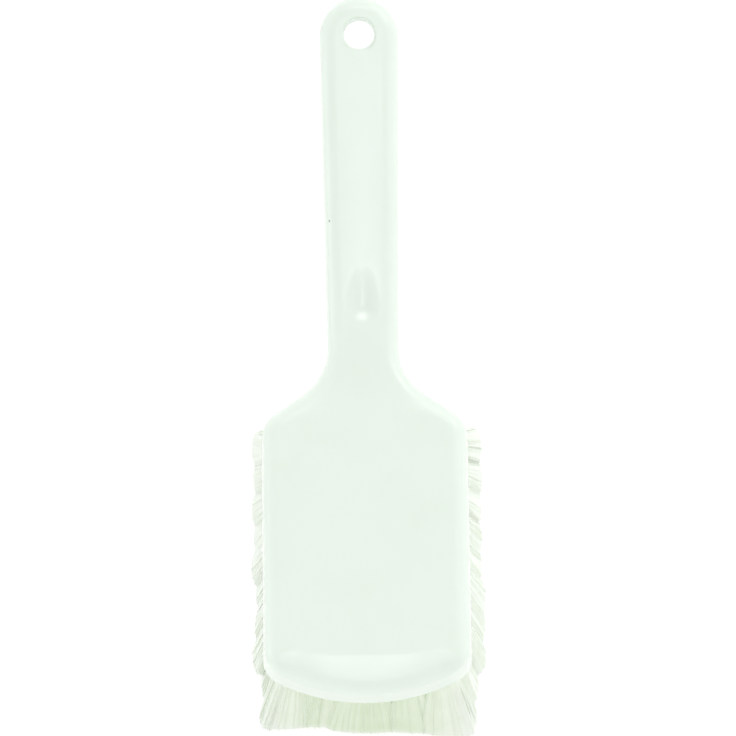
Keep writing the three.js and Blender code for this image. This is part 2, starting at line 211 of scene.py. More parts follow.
class BrushBodySettings(bpy.types.PropertyGroup):
    """Sizes and colours of the moulded body; a station is a length along its top from the toe"""

    block_width: length("Block width", "Width of the block at its rim", 0.075)
    toe_radius: length("Toe radius", "Radius of the toe seen from above", 0.071)
    toe_corner: length("Toe corner", "Radius where the toe meets the sides", 0.009)
    shoulder_station: length("Shoulder station", "Where the sides turn in to the shoulders", 0.1016)
    shoulder_radius: length("Shoulder radius", "Rounding of the shoulders", 0.010)
    neck_station: length("Neck station", "Where the shoulders meet the handle", 0.1183)
    neck_width: length("Neck width", "Width of the handle at the neck", 0.0258)
    neck_radius: length("Neck radius", "Hollow rounding at the neck", 0.020)
    end_width: length("End width", "Width of the handle at its end", 0.029)
    body_length: length("Body length", "From the toe to the handle's end along the top", 0.2557)
    block_thickness: length("Block thickness", "Thickness of the block", 0.020)
    neck_thickness: length("Neck thickness", "Thickness of the handle at the neck", 0.0155)
    end_thickness: length("End thickness", "Thickness of the handle at its end", 0.013)
    heel_run: length("Heel run", "Run over which the block thins to the handle", 0.022)
    top_edge: length("Top edge", "Rounding along the top", 0.006)
    toe_edge: length("Toe edge", "Rounding along the top of the toe", 0.011)
    toe_flat: length("Toe flat", "Station where the top starts to fall to the toe", 0.0129)
    toe_fall: turn("Toe fall", "Slope of the top's fall to the toe", 15.5)
    toe_crease: length("Toe crease", "Softness of the line where that fall starts", 0.0003)
    block_under_edge: length("Block lower edge", "Rounding under the block", 0.001)
    handle_under_edge: length("Handle lower edge", "Rounding under the handle", 0.0045)
    wall_draft: turn("Wall draft", "Lean of the side walls", 2.5)
    seam_height: length("Seam height", "Height of the mould's parting line", 0.00003)
    seam_width: length("Seam width", "Half the width of the parting line", 0.0003)
    handle_crown: length("Handle crown", "Fall of the crowned grip at its edges", 0.0007)
    bend_station: length("Bend station", "Where the handle starts to rise", 0.104)
    bend_radius: length("Bend radius", "Radius of the bend that raises the handle", 0.190)
    handle_rise: turn("Handle rise", "Rise of the handle above the block", 15.0)
    hang_hole: length("Hang hole", "Diameter of the hang hole", 0.0112)
    hang_from_end: length("Hang hole from end", "From the hole's middle to the handle's end", 0.0138)
    hang_rim: length("Hang hole rim", "Rounding of the hole's rims", 0.001)
    eye_flat: length("Eye flat", "Flat land toe-wards of the hole's middle", 0.010)
    eye_run: length("Eye run", "Run over which the crown dies out", 0.040)
    thumb_station: length("Thumb station", "Deepest point of the thumb rest", 0.1429)
    thumb_depth: length("Thumb depth", "Depth of the thumb rest", 0.0015)
    thumb_half_width: length("Thumb half width", "Half the width of the thumb rest", 0.0074)
    thumb_toe_reach: length("Thumb toe reach", "Reach of the thumb rest towards the block", 0.0082)
    thumb_grip_reach: length("Thumb grip reach", "Reach of the thumb rest towards the end", 0.019)
    plastic: colour("Plastic", "Main colour of the plastic", (0.795, 0.872, 0.80))
    plastic_flow: colour("Flow tint", "Colour of the flow marks in the plastic", (0.765, 0.852, 0.757))
    plastic_worn: colour("Worn plastic", "Colour of the handled edges", (0.84, 0.91, 0.85))
    plastic_rubbed: colour("Rubbed plastic", "Colour of the rub marks", (0.70, 0.76, 0.68))
    speck_dark: colour("Speck dark", "Colour of the dark speck", (0.18, 0.19, 0.15))
    speck_station: length("Speck station", "Place of the dark speck along the handle", 0.1738)
    speck_across: length("Speck across", "Place of the dark speck across the handle", -0.0119)
    speck_depth: length("Speck depth", "Depth of the dark speck below the top", 0.0018)
    speck_size: length("Speck size", "Radius of the dark speck", 0.0005)


class BrushBristleSettings(bpy.types.PropertyGroup):
    """Sizes and colours of the bristle tufts and their wire anchors"""

    bristle_length: length("Bristle length", "From the block to the trimmed tips", 0.038)
    flare: share("Flare", "Spread of the tips compared with the holes", 1.24)
    hole: length("Hole", "Diameter of a tuft's hole", 0.0055)
    hole_depth: length("Hole depth", "Depth of a tuft's hole", 0.012)
    hole_rim: length("Hole rim", "Countersink of a tuft's hole", 0.0003)
    hole_cone: length("Hole cone", "Height of the drill's cone", 0.0008)
    anchor_height: length("Anchor height", "Top of the anchor above the hole's rim", 0.0101)
    anchor_room: length("Anchor room", "Half the room that the anchor takes in the fold", 0.00046)
    filament: length("Filament", "Diameter of a filament", 0.0006)
    filaments: bpy.props.IntProperty(
        name="Filaments", description="Folded filaments in a tuft, two legs each", default=120, min=4
    )
    root_spread: length("Root spread", "Radius of the tuft at its hole", 0.0024)
    tip_across: length("Tips across", "Spread of an outermost tuft to the outside at its tips", 0.0037)
    toe_across: length("Toe tips across", "The same in the first two rows", 0.0040)
    tip_along: length("Tips along", "Half the length of a tuft at its tips", 0.0072)
    overlap: share("Overlap", "Width of neighbouring tufts at the tips compared with their pitch", 2.0)
    core: share("Core", "Size of a tuft's packed inside compared with the tuft", 0.99)
    skin: share("Skin", "Packing of the filaments: 0.5 is even, less is closer at the outside", 0.3)
    flute: share("Flute", "Depth of the core's flutes compared with its size", 0.008)
    burst: share("Burst", "How soon a tuft opens below its hole: 1 is even, less is sooner", 0.5)
    squareness: share("Squareness", "0 for oval tufts at the tips, 1 for square ones", 0.25)
    front_line: length("Front line", "Station of the trimmed front", -0.0020)
    front_slant: share("Front slant", "How the front runs forward from left to right", 0.058)
    scatter: length("Scatter", "Unevenness of the tips", 0.0002)
    lean: length("Lean", "Lean of all the tips to the right", 0.0006)
    tuft_scatter: length("Tuft scatter", "Unevenness of whole tufts at their tips", 0.0005)
    swell: share("Swell", "Unevenness of the tufts' spread", 0.14)
    bow: length("Bow", "Bend of single filaments", 0.00015)
    trim: length("Trim", "Unevenness of the trimmed tips", 0.0004)
    seed: bpy.props.IntProperty(name="Seed", description="Seed of the unevenness", default=7)
    strand_white: colour("Strand white", "Colour of the clearer filaments", (0.935, 0.965, 0.925))
    # The warm colour stands both for duller filaments and for the painted shade towards the brush's
    # middle line
    strand_warm_and_painted_shade: colour("Strand warm", "Colour of the duller filaments", (0.645, 0.76, 0.515))
    tip_white: colour("Tip white", "Colour of the cut tips", (0.95, 0.97, 0.92))
    steel: colour("Steel", "Colour of the anchor wire", (0.52, 0.53, 0.53))
    steel_dull: colour("Dull steel", "Colour of the rubbed wire", (0.36, 0.36, 0.36))


class BrushStageSettings(bpy.types.PropertyGroup):
    """Camera, lamps and floor"""

    camera_elevation: turn("Camera elevation", "Height of the camera above the horizon", 73.0)
    camera_distance: length("Camera distance", "From the aim to the camera", 2.0)
    camera_roll: turn("Camera roll", "Turn of the picture", 0.8)
    lens: share("Lens", "Focal length in millimetres", 270.0)
    aim_station: length("Aim station", "Station in the middle of the picture", 0.120)
    aim_across: length("Aim across", "Shift of the aim across the brush", 0.0016)
    aim_height: length("Aim height", "Height of the aim", 0.058)
    floor_size: length("Floor size", "Half the width of the floor", 40.0)
    floor_clear: share("Floor clear", "Share of light that the floor lets through", 0.2)
    floor_gap: length("Floor gap", "Floor below the tips", 0.0001)
    floor_white: share("Floor white", "Paleness of the floor", 0.92)
    floor_lift: share("Floor lift", "Glow that lifts the floor to white in the picture", 0.28)
    ambient_low: share("Ambient low", "Light from all round near the horizon", 1.5)
    ambient_ahead: share("Ambient ahead", "Share of the light from all round left beyond the toe", 0.8)
    ambient_high: share("Ambient high", "Light from all round overhead", 0.33)
    top_power: watts("Top lamp", "Power of the softbox overhead", 0.6)
    back_power: watts("Back lamp", "Power of the lamp beyond the handle", 3.2)
    toe_power: watts("Toe lamp", "Power of the small lamp mirrored in the toe", 0.55)
    front_power: watts("Front lamp", "Power of the large lamp beyond the toe", 1.2)
    right_power: watts("Right lamp", "Power of the lamp at the right", 5.0)
    left_power: watts("Left lamp", "Power of the low lamp at the left", 1.2)


def smooth_step(value, low, high):
    """3 t^2 - 2 t^3 with t running from 0 at low to 1 at high."""
    t = np.clip((value - low) / (high - low), 0.0, 1.0)
    return t * t * (3.0 - 2.0 * t)


def mix(low, high, part):
    """low + (high - low) part."""
    return low + (high - low) * part


def soft_max(first, second, softness):
    """Greater of two values, rounded where they cross: (a + b + sqrt((a - b)^2 + k^2)) / 2."""
    return 0.5 * (first + second + np.sqrt((first - second) ** 2 + softness**2))


def circle(sides):
    """Points (cos a, sin a) evenly round a circle of radius 1."""
    angle = np.linspace(0.0, 2 * math.pi, sides, endpoint=False)
    return np.stack([np.cos(angle), np.sin(angle)], -1)


def arc(centre, radius, start, end, steps, side=1.0):
    """Points centre + radius (cos a, sin a), a from start up to but without end, and their normals,
    outward or, with side -1, inward."""
    angle = np.linspace(start, end, steps, endpoint=False)
    ray = np.stack([np.cos(angle), np.sin(angle)], -1)
    return np.asarray(centre) + radius * ray, side * ray


def line(first, last, steps):
    """Points from first up to but without last, and the normal on the right of that way."""
    way = (last - first) / np.linalg.norm(last - first)
    points = first + np.linspace(0.0, 1.0, steps, endpoint=False)[:, None] * (last - first)
    return points, np.broadcast_to([way[1], -way[0]], points.shape)


def rounded_corner(before, corner, after, radius):
    """Start, end, centre and the two angles of the arc that rounds off a corner."""
    back = (before - corner) / np.linalg.norm(before - corner)
    on = (after - corner) / np.linalg.norm(after - corner)
    half = 0.5 * math.acos(float(back @ on))
    start = corner + back * radius / math.tan(half)
    end = corner + on * radius / math.tan(half)
    middle = (back + on) / np.linalg.norm(back + on)
    centre = corner + middle * radius / math.sin(half)
    angles = [math.atan2(p[1] - centre[1], p[0] - centre[0]) for p in (start, end)]
    return start, end, centre, angles


def half_outline(body):
    """Right half of the body seen from above: toe arc, corner arc, side, shoulder arc, slope, neck arc,
    handle and end arc in turn, as points (x, station) with outward normals, and the row where the
    block's flat underside ends."""
    half = body.block_width / 2
    half_end = body.end_width / 2
    corner_x = half - body.toe_corner
    corner_y = body.toe_radius - math.sqrt((body.toe_radius - body.toe_corner) ** 2 - corner_x**2)
    toe_end = math.atan2(corner_y - body.toe_radius, corner_x)
    side = np.array([half, corner_y])
    shoulder = np.array([half, body.shoulder_station])
    neck = np.array([body.neck_width / 2, body.neck_station])
    end = np.array([half_end, body.body_length - half_end])
    turn_in = rounded_corner(side, shoulder, neck, body.shoulder_radius)
    turn_out = rounded_corner(shoulder, neck, end, body.neck_radius)
    hollow_end = turn_out[3][1]
    if hollow_end > turn_out[3][0]:
        hollow_end -= 2 * math.pi
    runs = [
        arc((0.0, body.toe_radius), body.toe_radius, -math.pi / 2, toe_end, TOE_ARC_STEPS),
        arc((corner_x, corner_y), body.toe_corner, toe_end, 0.0, TOE_CORNER_STEPS),
        line(side, turn_in[0], SIDE_STEPS),
        arc(turn_in[2], body.shoulder_radius, turn_in[3][0], turn_in[3][1], SHOULDER_STEPS),
        line(turn_in[1], turn_out[0], SLOPE_STEPS),
        arc(turn_out[2], body.neck_radius, turn_out[3][0], hollow_end, NECK_STEPS, -1.0),
        line(turn_out[1], end, HANDLE_STEPS),
        arc((0.0, end[1]), half_end, 0.0, math.pi / 2, END_ARC_STEPS),
        (np.array([[0.0, body.body_length]]), np.array([[0.0, 1.0]])),
    ]
    points = np.concatenate([run[0] for run in runs])
    normals = np.concatenate([run[1] for run in runs])
    points[0, 0] = 0.0
    normals[0] = (0.0, -1.0)
    floor_row = TOE_ARC_STEPS + TOE_CORNER_STEPS + SIDE_STEPS + SHOULDER_FLOOR_STEP
    return points, normals, floor_row


def on_handle(station, body):
    """0 on the block, 1 on the handle, a smooth step over the heel's run between them."""
    return smooth_step(station, body.shoulder_station, body.shoulder_station + body.heel_run)


def thickness(station, body):
    """Thickness of the body: the block's, passing over to a handle that thins evenly to its end."""
    along = (station - body.neck_station) / (body.body_length - body.neck_station)
    handle = mix(body.neck_thickness, body.end_thickness, along)
    return mix(body.block_thickness, handle, on_handle(station, body))


def crown_fall(x, station, body):
    """Fall of the grip's crowned top, as the square of x, dying out to a flat eye at the hang hole."""
    eye = body.body_length - body.hang_from_end - body.eye_flat
    crown = body.handle_crown * on_handle(station, body)
    crown = crown * (1.0 - smooth_step(station, eye - body.eye_run, eye))
    return crown * (x / (body.neck_width / 2)) ** 2


def thumb_rest(x, station, body):
    """Depth of the oval dish: depth (1 - u^p - v^2)^3 inside its rim, steeper towards the block, where p
    goes from 3 to 2 on the way to the grip, so the dish narrows that way."""
    reach = np.where(station < body.thumb_station, body.thumb_toe_reach, body.thumb_grip_reach)
    along = (station - body.thumb_station) / reach
    blunt = 3.0 - smooth_step(along, *THUMB_NARROWING)
    away = np.abs(x / body.thumb_half_width) ** blunt + along**2
    return body.thumb_depth * np.maximum(0.0, 1.0 - away) ** 3


def toe_fall(depth, station, body):
    """Depth below the top, cut by a plane that falls to the toe from a straight line across the block."""
    plane = (body.toe_flat - station) * math.tan(body.toe_fall)
    cut = soft_max(depth, plane, body.toe_crease)
    return np.where(station < FALL_ROOM * body.toe_flat, cut, depth)


def raised(x, station, depth, body, bristle_length):
    """Place in the row's frame of a point given across, along the top and below it: the handle turns up
    about an axis above the body, along a circle of the bend's radius and then straight on."""
    angle = np.clip((station - body.bend_station) / body.bend_radius, 0.0, body.handle_rise)
    rest = station - body.bend_station - body.bend_radius * angle
    reach = body.bend_radius + depth
    y = body.bend_station + reach * np.sin(angle) + rest * np.cos(angle)
    z = body.block_thickness - depth + reach * (1.0 - np.cos(angle)) + rest * np.sin(angle)
    return np.stack([x, TOE_Y + y, bristle_length + z], -1)


def toe_share(points, body):
    """1 along the toe, 0 along the sides, a smooth step of 1 - (2 x / width)^2 round its corners."""
    inside = 1.0 - (2.0 * points[:, 0] / body.block_width) ** 2
    inside = np.where(points[:, 1] < body.shoulder_station, inside, 0.0)
    return smooth_step(inside, *TOE_CORNER_FADE)


def eye_path(edge, body):
    """Inner ends of the rows round the hang hole: up the middle line to the hole, then round its rim."""
    centre = body.body_length - body.hang_from_end
    rim = body.hang_hole / 2 + body.hang_rim
    up = np.linspace(edge[-EYE_ROWS, 1], centre - rim, EYE_SPINE_ROWS, endpoint=False)
    angle = np.linspace(-math.pi / 2, math.pi / 2, EYE_ROWS - EYE_SPINE_ROWS)
    spine = np.stack([np.zeros_like(up), up], -1)
    ring = np.stack([rim * np.cos(angle), centre + rim * np.sin(angle)], -1)
    ring[[0, -1], 0] = 0.0
    return np.concatenate([spine, ring]), angle


def grid_faces(rows, columns, start):
    """Quads of a grid whose points are numbered row by row."""
    corner = start + np.arange(rows - 1)[:, None] * columns + np.arange(columns - 1)
    quads = np.stack([corner, corner + 1, corner + columns + 1, corner + columns], -1)
    return quads.reshape(-1, 4)


def outer_shell(body, bristle_length):
    """Right half of the body's outside on a grid: along the outline, and round from the middle of the top
    over the rounded edge, the leaning wall with its parting line and the lower edge to the underside.
    The rounded edge lies at an inset i from the wall at the depth r - sqrt(r^2 - (r - i)^2)."""
    points, normals, floor_row = half_outline(body)
    under = thickness(points[:, 1], body)
    under_edge = mix(body.block_under_edge, body.handle_under_edge, on_handle(points[:, 1], body))
    top_edge = mix(body.top_edge, body.toe_edge, toe_share(points, body))
    lean = (under - under_edge - top_edge) * math.tan(body.wall_draft)
    to_flat = (body.toe_flat - points[:, 1]) / np.maximum(-normals[:, 1], TOE_FACING)
    to_flat = np.maximum(lean + top_edge, to_flat)
    edge_inset = np.where(normals[:, 1] < -TOE_FACING, to_flat, lean + top_edge)
    edge = points - normals * edge_inset[:, None]

    way = np.concatenate([[0.0], np.cumsum(np.linalg.norm(np.diff(points, axis=0), axis=1))])
    spine = edge[:, 1].copy()
    fan = way[: floor_row + 1] / way[floor_row]
    spine[: floor_row + 1] = mix(FALL_ROOM * body.toe_flat, edge[floor_row, 1], fan)
    inner = np.stack([np.zeros_like(spine), spine], -1)
    inner[-EYE_ROWS:], eye_angle = eye_path(edge, body)

    part = 0.5 - 0.5 * np.cos(np.linspace(0.0, math.pi, TOP_COLUMNS))
    top = inner[:, None] + (edge - inner)[:, None] * part[None, :, None]
    top_depth = crown_fall(top[..., 0], top[..., 1], body) + thumb_rest(top[..., 0], top[..., 1], body)
    top_depth = toe_fall(top_depth, top[..., 1], body)

    angle = np.linspace(0.0, math.pi / 2, TOP_EDGE_STEPS + 1)[1:]
    over = (edge_inset - lean)[:, None] * (1.0 - np.sin(angle))
    hollow = np.maximum(0.0, top_edge[:, None] - over)
    round_depth = top_edge[:, None] - np.sqrt(np.maximum(0.0, top_edge[:, None] ** 2 - hollow**2))
    rounded = points[:, None] - normals[:, None] * (lean[:, None] + over)[..., None]
    round_depth = round_depth + crown_fall(edge[:, 0], edge[:, 1], body)[:, None]
    round_depth = round_depth + thumb_rest(rounded[..., 0], rounded[..., 1], body)
    round_depth = toe_fall(round_depth, rounded[..., 1], body)

    seam = under - under_edge
    drop = np.linspace(0.0, 1.0, WALL_STEPS + 1)[1:-1]
    wall_end = seam - body.seam_width
    wall_inset = lean[:, None] * (1.0 - drop)
    wall_depth = mix(round_depth[:, -1:], wall_end[:, None], drop)
    seam_inset = np.array([0.0, -body.seam_height, -body.seam_height, 0.0])
    seam_depth = seam[:, None] + body.seam_width * SEAM_STEPS
    angle_under = np.linspace(math.pi / 2, 0.0, UNDER_EDGE_STEPS + 2)[2:]
    under_inset = under_edge[:, None] * (1.0 - np.sin(angle_under))
    under_depth = under[:, None] - under_edge[:, None] * (1.0 - np.cos(angle_under))
    rows = len(points)
    low_inset = np.concatenate([wall_inset, np.tile(seam_inset, (rows, 1)), under_inset], 1)
    low_depth = np.concatenate([wall_depth, seam_depth, under_depth], 1)
    low = points[:, None] - normals[:, None] * low_inset[..., None]

    plan = np.concatenate([top, rounded, low], 1)
    depth = np.concatenate([top_depth, round_depth, low_depth], 1)
    worn = np.zeros(plan.shape[:2])
    worn[:, TOP_COLUMNS:TOP_COLUMNS + TOP_EDGE_STEPS] = np.sin(2.0 * angle) ** 2
    shell = raised(plan[..., 0], plan[..., 1], depth, body, bristle_length)
    return shell, worn, plan[:, -1], under, floor_row, eye_angle


def under_sheet(rim, under, floor_row, body, bristle_length):
    """Right half of the handle's underside: straight rows from the lower edge in to the middle line, and
    to the hang hole's rim near the end."""
    inner = np.stack([np.zeros(len(rim)), rim[:, 1]], -1)
    inner[-EYE_ROWS:], _ = eye_path(rim, body)
    inner_depth = under.copy()
    inner_depth[-EYE_ROWS:] = thickness(inner[-EYE_ROWS:, 1], body)
    part = np.linspace(1.0, 0.0, UNDER_COLUMNS)
    plan = inner[:, None] + (rim - inner)[:, None] * part[None, :, None]
    depth = mix(inner_depth[:, None], under[:, None], part)
    sheet = raised(plan[..., 0], plan[..., 1], depth, body, bristle_length)
    return sheet[floor_row:]


def hang_hole_wall(angle, body, bristle_length):
    """Right half of the hang hole: a profile of two quarter rounds and a straight wall, carried round."""
    quarter = np.linspace(0.0, math.pi / 2, RIM_STEPS + 1)
    radius = body.hang_hole / 2 + body.hang_rim * (1.0 - np.sin(quarter))
    fall = body.hang_rim * (1.0 - np.cos(quarter))
    reach = np.concatenate([radius, radius[::-1]])
    middle = body.body_length - body.hang_from_end
    x = np.cos(angle)[:, None] * reach
    x[[0, -1]] = 0.0
    station = middle + np.sin(angle)[:, None] * reach
    rim = middle + np.sin(angle) * (body.hang_hole / 2 + body.hang_rim)
    bottom = thickness(rim, body)[:, None]
    depth = np.concatenate([np.tile(fall, (len(angle), 1)), bottom - fall[::-1]], 1)
    return raised(x, station, depth, body, bristle_length)


def tuft_field(bristles):
    """Row, hole, tip and spread to the left, right, front and back of every tuft. The hole is worked back
    from the anchor: a tuft's line at the height h above the rim lies at
    middle + (hole - middle) (1 - (flare - 1) h / length). The first row reaches a slanted front line."""
    names = [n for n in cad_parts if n.startswith("anchor_")]
    names.sort(key=lambda n: [int(k) for k in n.split("_")[1:]])
    rows = np.array([int(n.split("_")[1]) for n in names])
    centres = np.array([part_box(n) for n in names]).mean(axis=1)
    middle = 0.5 * (centres.min(axis=0) + centres.max(axis=0))[:2]
    height = centres[:, 2:] - bristles.bristle_length
    drawn_in = 1.0 - (bristles.flare - 1.0) * height / bristles.bristle_length
    hole = middle + (centres[:, :2] - middle) / drawn_in
    tip = middle + (hole - middle) * bristles.flare
    beside = np.diff(tip[:, 0])
    same_row = np.diff(rows) == 0
    half = np.where(same_row, 0.5 * bristles.overlap * beside, 0.0)
    outer = np.where(rows <= TOE_ROWS, bristles.toe_across, bristles.tip_across)
    back = np.full(len(rows), bristles.tip_along)
    front_y = TOE_Y + bristles.front_line - bristles.front_slant * tip[:, 0]
    front = np.where(rows == FRONT_ROW, tip[:, 1] - front_y, back)
    left = np.concatenate([[0.0], half])
    right = np.concatenate([half, [0.0]])
    sides = [np.where(side > 0.0, side, outer) for side in (left, right)]
    spread_out = np.stack([*sides, front, back], -1)
    return rows, hole, tip, spread_out


def tuft_holes(hole, tip, bristles):
    """Drilled holes: circles of the rim, the countersink, the wall and the drill's cone, each drawn along
    the tuft's lean, as an array by tuft, level and side."""
    radius = bristles.hole / 2
    deep = bristles.hole_depth - bristles.hole_cone
    levels = np.array([0.0, bristles.hole_rim, deep / 2, deep, bristles.hole_depth])
    reach = np.array([radius + bristles.hole_rim, radius, radius, radius, 0.0])
    lean = (hole - tip) / bristles.bristle_length
    plan = hole[:, None] + lean[:, None] * levels[None, :, None]
    plan = plan[:, :, None] + reach[None, :, None, None] * circle(PIT_SIDES)[None, None]
    z = np.broadcast_to(bristles.bristle_length + levels[None, :, None], plan.shape[:3])
    return np.concatenate([plan, z[..., None]], -1)


def ring_faces(count, levels, sides, start):
    """Quads between neighbouring rings, for a number of like stacks of rings."""
    stack = np.arange(count)[:, None, None] * levels * sides
    level = np.arange(levels - 1)[None, :, None] * sides
    side = np.arange(sides)[None, None]
    corner = start + stack + level
    after = (side + 1) % sides
    quads = np.stack([corner + side, corner + after, corner + sides + after, corner + sides + side], -1)
    return quads.reshape(-1, 4)


def end_faces(count, levels, sides, start):
    """Faces that close the first and last ring of a number of like stacks of rings."""
    first = start + np.arange(count)[:, None] * levels * sides + np.arange(sides)
    return first[:, ::-1].tolist() + (first + (levels - 1) * sides).tolist()


def pitted_floor(rim, floor_row, hole, bristles):
    """Flat underside of the block: the region inside its lower edge and outside the tuft holes, in
    triangles that use only the points of those lines."""
    part = np.linspace(1.0, 0.0, UNDER_COLUMNS)[1:, None]
    right = rim[: floor_row + 1]
    heel = right[-1:]
    across = np.concatenate([heel[:, :1] * part, np.broadcast_to(heel[:, 1:], part.shape)], 1)
    half = np.concatenate([right, across[:-1]])
    loop = np.concatenate([half, across[-1:], half[:0:-1] * [-1.0, 1.0]])
    loop = loop + [0.0, TOE_Y]
    rim_radius = bristles.hole / 2 + bristles.hole_rim
    circles = hole[:, None] + rim_radius * circle(PIT_SIDES)
    points = np.concatenate([loop, circles.reshape(-1, 2)])
    border = np.arange(len(loop))
    edges = [np.stack([border, np.roll(border, -1)], -1)]
    rings = len(loop) + np.arange(len(hole) * PIT_SIDES).reshape(-1, PIT_SIDES)
    edges.append(np.stack([rings, np.roll(rings, -1, axis=1)], -1).reshape(-1, 2))
    made = delaunay_2d_cdt(points.tolist(), np.concatenate(edges).tolist(), [], INSIDE_BORDER, TINY)
    flat = np.array(made[0])
    faces = np.array(made[2])
    gap = np.linalg.norm(flat[faces].mean(axis=1)[:, None] - hole[None], axis=2).min(axis=1)
    faces = faces[gap > HOLE_SHARE * rim_radius]
    floor = np.concatenate([flat, np.full((len(flat), 1), bristles.bristle_length)], 1)
    return floor, faces


def tuft_fans(spread_out, bristles, rng):
    """Every tuft's spread at the tips to its four sides, and its shift, a little uneven."""
    swell = rng.uniform(1.0 - bristles.swell, 1.0 + bristles.swell, spread_out.shape)
    shift = rng.normal(0.0, bristles.tuft_scatter, (len(spread_out), 2))
    return spread_out * swell, shift + np.array([bristles.lean, 0.0])


def fan_places(place, fan, bristles):
    """Places of a disc drawn out to the blunt oval of a tuft's tips: each is moved outwards by a share of
    the way from the disc to the square about it, then spread by the tuft's own four sides."""
    ways = place.shape[1:-1]
    blunt = np.linalg.norm(place, axis=-1) / np.maximum(np.abs(place).max(axis=-1), TINY)
    square = place * mix(1.0, blunt, bristles.squareness)[..., None]
    spread_out = fan[0].reshape(len(fan[0]), *(1 for _ in ways), 4)
    shift = fan[1].reshape(len(fan[1]), *(1 for _ in ways), 2)
    across = np.where(square[..., 0] < 0.0, spread_out[..., 0], spread_out[..., 1])
    along = np.where(square[..., 1] < 0.0, spread_out[..., 2], spread_out[..., 3])
    return square * np.stack([across, along], -1) + shift


def tuft_cores(hole, tip, fan, bristles, rng):
    """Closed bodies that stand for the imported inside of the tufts, by tuft, level and side, with each
    ring's way to the tips: blunt ovals on the tuft's lean, from inside its hole to short of its tips,
    each ending at its own height, fluted by radius (1 + f (-1)^side) with an uneven f."""
    ring = np.broadcast_to(circle(CORE_SIDES), (len(hole), CORE_SIDES, 2))
    flute = rng.uniform(LEAST_FLUTE, 1.0, (len(hole), CORE_SIDES)) * bristles.flute
    flute = 1.0 + flute * np.where(np.arange(CORE_SIDES) % 2, -1.0, 1.0)
    size = CORE_SIZES * bristles.core
    clipped = np.clip(CORE_WAYS, 0.0, 1.0)
    wide = clipped[None, :, None, None] ** bristles.burst
    root = ring * bristles.root_spread
    tips = fan_places(ring, fan, bristles)
    offset = mix(root[:, None], tips[:, None], wide) * size[None, :, None, None] * flute[:, None, :, None]
    plan = hole[:, None, None] + (tip - hole)[:, None, None] * CORE_WAYS[None, :, None, None] + offset
    rise = bristles.trim * ((np.arange(len(hole)) * GOLDEN_SHARE) % 1.0)
    rise = np.where(CORE_WAYS > CORE_END_WAY, rise[:, None], 0.0)
    z = bristles.bristle_length * (1.0 - CORE_WAYS) + rise
    z = np.broadcast_to(z[:, :, None, None], (*plan.shape[:3], 1))
    reach = np.broadcast_to(clipped[None, :, None], plan.shape[:3])
    return np.concatenate([plan, z], -1), reach


def filament_paths(hole, tip, fan, bristles, rng):
    """Middle lines of folded filaments by tuft, filament and ring, with each ring's way to the tips. Leg
    places fill a half disc, closer at its rim: radius ((i + 1/2) / n)^k, angle pi frac(i g). A filament
    runs from one tip up into the hole, over the anchor and down its other side, and its distance from the
    tuft's middle line grows as a power of the way to the tip, with a bow that goes as a sine."""
    tufts = len(hole)
    count = bristles.filaments
    order = np.arange(count)
    radius = ((order + 0.5) / count) ** bristles.skin
    angle = math.pi * ((order * GOLDEN_SHARE) % 1.0)
    place = np.stack([radius * np.cos(angle), radius * np.sin(angle)], -1)
    sides = np.array([-1.0, 1.0])
    leg = np.stack([np.stack([place[:, 0], s * place[:, 1]], -1) for s in sides])
    leg = np.broadcast_to(leg, (tufts, 2, count, 2))
    root = leg * bristles.root_spread
    fan = fan_places(leg, fan, bristles)
    fan = fan + rng.normal(0.0, bristles.scatter, fan.shape)
    bow = rng.normal(0.0, bristles.bow, fan.shape)
    trim = rng.uniform(0.0, bristles.trim, fan.shape[:3])

    loop = bristles.anchor_room + FOLD_WIDTH * np.abs(root[..., 1])
    apex = bristles.anchor_height + bristles.filament / 2 + FOLD_RISE * loop
    shoulder, foot = FOLD_FALL
    height = [apex, apex - shoulder * loop, apex - foot * loop - bristles.filament / 2]
    height += [way * (trim - bristles.bristle_length) for way in FILAMENT_WAYS]
    height = np.stack(height, -1)
    in_hole = root[..., None, :] * [1.0, 0.0] * np.ones((len(FOLD_REACH), 1))
    in_hole = in_hole + loop[..., None, None] * FOLD_REACH * sides[None, :, None, None, None]
    wide = (FILAMENT_WAYS**bristles.burst)[:, None]
    out = root[..., None, :] * (1.0 - wide) + fan[..., None, :] * wide
    out = out + bow[..., None, :] * np.sin(math.pi * FILAMENT_WAYS)[:, None]
    offset = np.concatenate([in_hole, out], -2)
    lean = (hole - tip) / bristles.bristle_length
    plan = hole[:, None, None, None] + lean[:, None, None, None] * height[..., None] + offset
    path = np.concatenate([plan, bristles.bristle_length + height[..., None]], -1)
    reach = np.clip(-height / bristles.bristle_length, 0.0, 1.0)
    whole = np.concatenate([path[:, 0, :, :0:-1], path[:, 1]], 2)
    whole_reach = np.concatenate([reach[:, 0, :, :0:-1], reach[:, 1]], 2)
    apex_ring = path.shape[3] - 1
    whole[:, :, apex_ring] = 0.5 * (path[:, 0, :, 0] + path[:, 1, :, 0])
    return whole, whole_reach


def filament_tubes(path, radius):
    """Tubes of few sides along the paths: at each ring a polygon square to the path, in the directions
    e1, which is X less its share along the path, and e2, the path's cross product with it."""
    along = np.gradient(path, axis=2)
    along = along / np.linalg.norm(along, axis=-1, keepdims=True)
    across = np.array([1.0, 0.0, 0.0]) - along * along[..., :1]
    across = across / np.linalg.norm(across, axis=-1, keepdims=True)
    other = np.cross(along, across)
    ring = radius * circle(FILAMENT_SIDES)
    rings = path[..., None, :] + ring[:, :1] * across[..., None, :]
    return rings + ring[:, 1:] * other[..., None, :]


def strand_tone_and_painted_shade(places, tip, shape, rng):
    """Tone of every place: its filament's own, drawn in an array of a shape, plus painted shade that
    grows towards the brush's middle line by 1 - (x / outermost x)^2, where the toe's overhang shades the
    fringe."""
    own = rng.uniform(*STRAND_TONES, shape)
    inside = np.maximum(0.0, 1.0 - (places[..., 0] / np.abs(tip[:, 0]).max()) ** 2)
    return own + INNER_PAINTED_SHADE * inside


